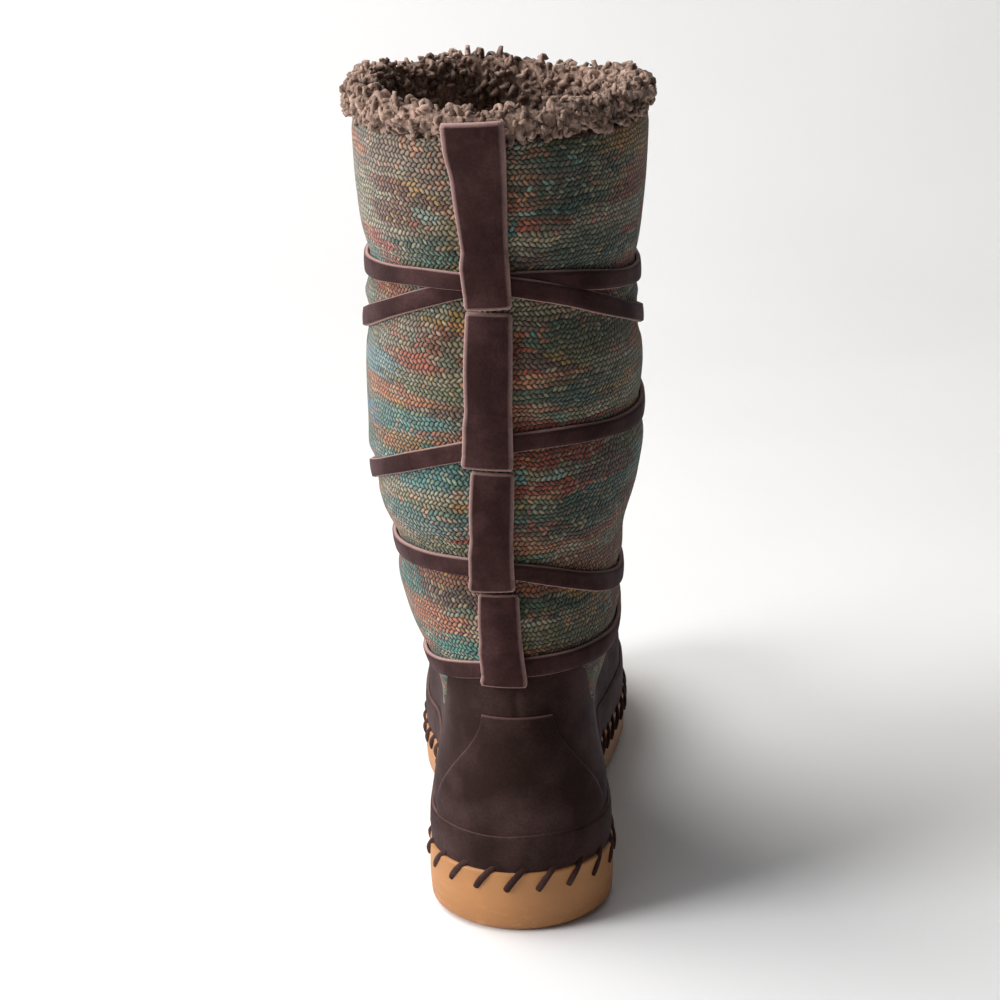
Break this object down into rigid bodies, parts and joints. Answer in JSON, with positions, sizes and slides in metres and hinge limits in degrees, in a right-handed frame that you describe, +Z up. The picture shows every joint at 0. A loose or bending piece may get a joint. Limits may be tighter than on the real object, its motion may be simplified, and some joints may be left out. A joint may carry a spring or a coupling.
{
  "type": "mukluk boot",
  "caption": "Left mid-calf mukluk boot: knitted shaft on a suede foot, pile cuff, suede straps wound through loops up the back, laced rubber cup sole.",
  "frame": {"origin": "on the floor in the middle of the heel's tread, under the ankle", "axes": "+Z up the shaft, +Y to the toe, +X to the inner (medial) side of the foot"},
  "size_m": [0.115, 0.2668, 0.324],
  "materials": {
    "sole_rubber": "smooth tan cup-sole rubber, lightly scuffed",
    "lining": "matted short pile",
    "knit": "space-dyed knit in teal, rust, olive, mustard and grey runs",
    "suede": "dark brown suede, napped",
    "pile": "taupe curly pile",
    "strap_suede": "dark red-brown suede strap with lighter cut edges"
  },
  "bodies": {
    "root": {"outsole": "sole_rubber", "insole": "lining", "upper": "knit", "rand": "suede", "heel_counter": "suede", "cuff": "pile", "wrap_straps": "strap_suede", "back_loop_1": "strap_suede", "back_loop_2": "strap_suede", "back_loop_3": "strap_suede", "back_loop_4": "strap_suede", "front_keeper": "strap_suede"}
  },
  "joints": []
}
